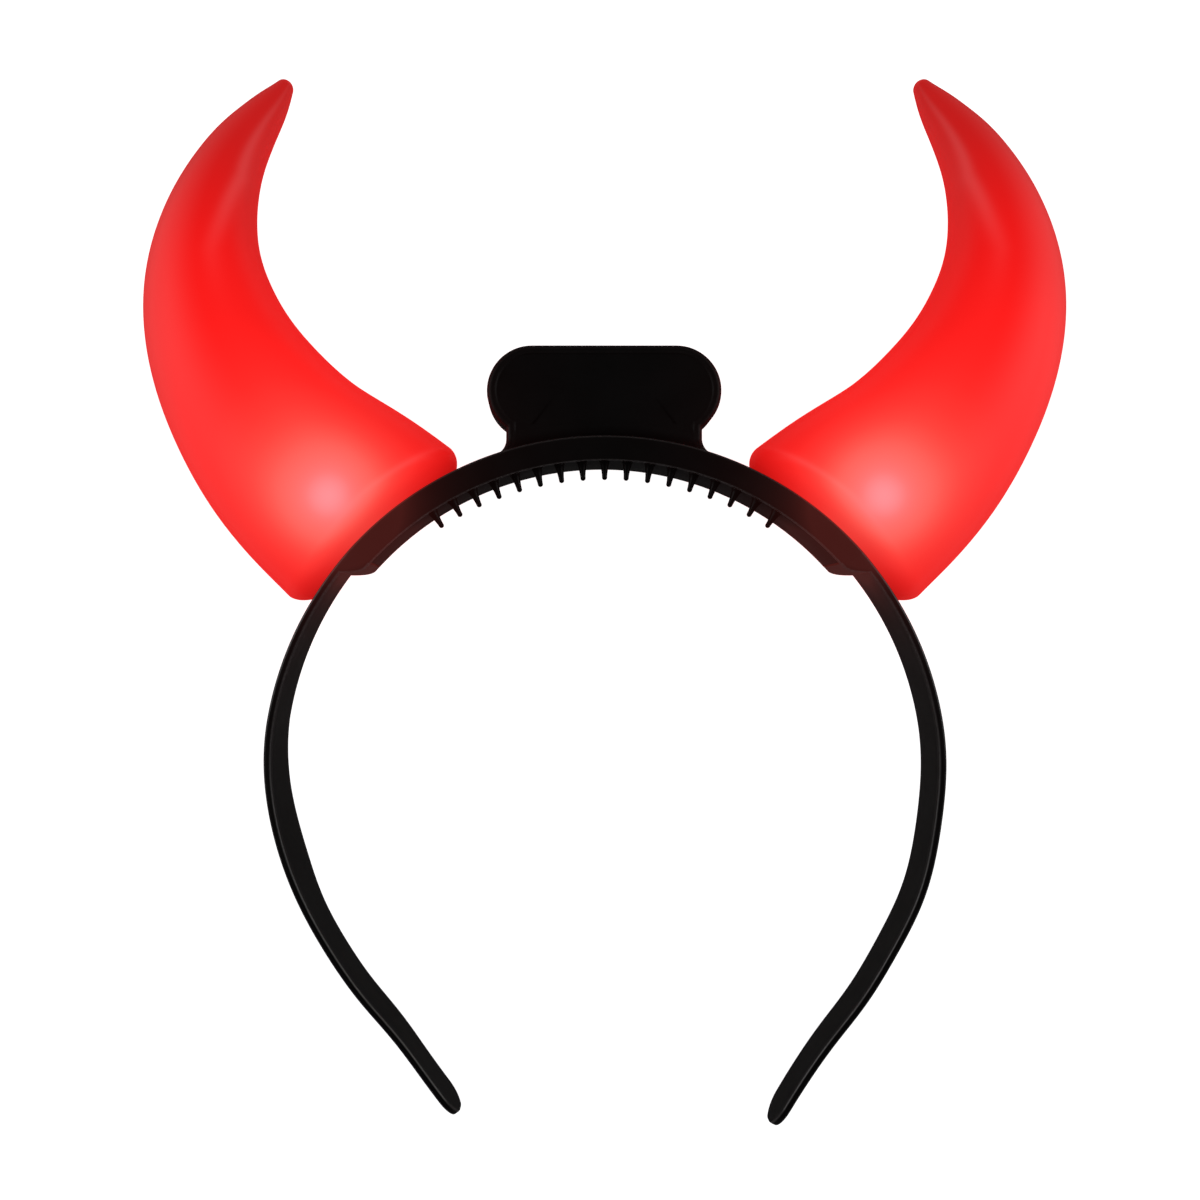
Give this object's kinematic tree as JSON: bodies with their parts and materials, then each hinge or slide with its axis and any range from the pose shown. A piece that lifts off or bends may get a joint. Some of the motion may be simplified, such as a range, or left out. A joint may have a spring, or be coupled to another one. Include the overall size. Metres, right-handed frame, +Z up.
{
  "type": "devil horns headband",
  "caption": "Light-up hair band with hollow curved devil horns, an upright case between them and a comb strip under the crown.",
  "frame": {"origin": "centre of the footprint, on the surface that the headband lies on", "axes": "+Y up the band as it is worn, towards the horns; +Z up, out of the front of the band, which leans back from it by 4 degrees; +X to the wearer's left"},
  "size_m": [0.1826, 0.2072, 0.03],
  "materials": {
    "band_plastic": "black moulded ABS, glossy",
    "comb_plastic": "black moulded ABS, a little duller than the band",
    "horn_plastic": "translucent red moulded plastic, glossy, lit from inside",
    "lamp_resin": "clear reddish lamp resin, lit"
  },
  "bodies": {
    "root": {"band": "band_plastic", "comb_cover": "comb_plastic", "horn_right": "horn_plastic", "horn_left": "horn_plastic", "led_right": "lamp_resin", "led_left": "lamp_resin"}
  },
  "joints": []
}
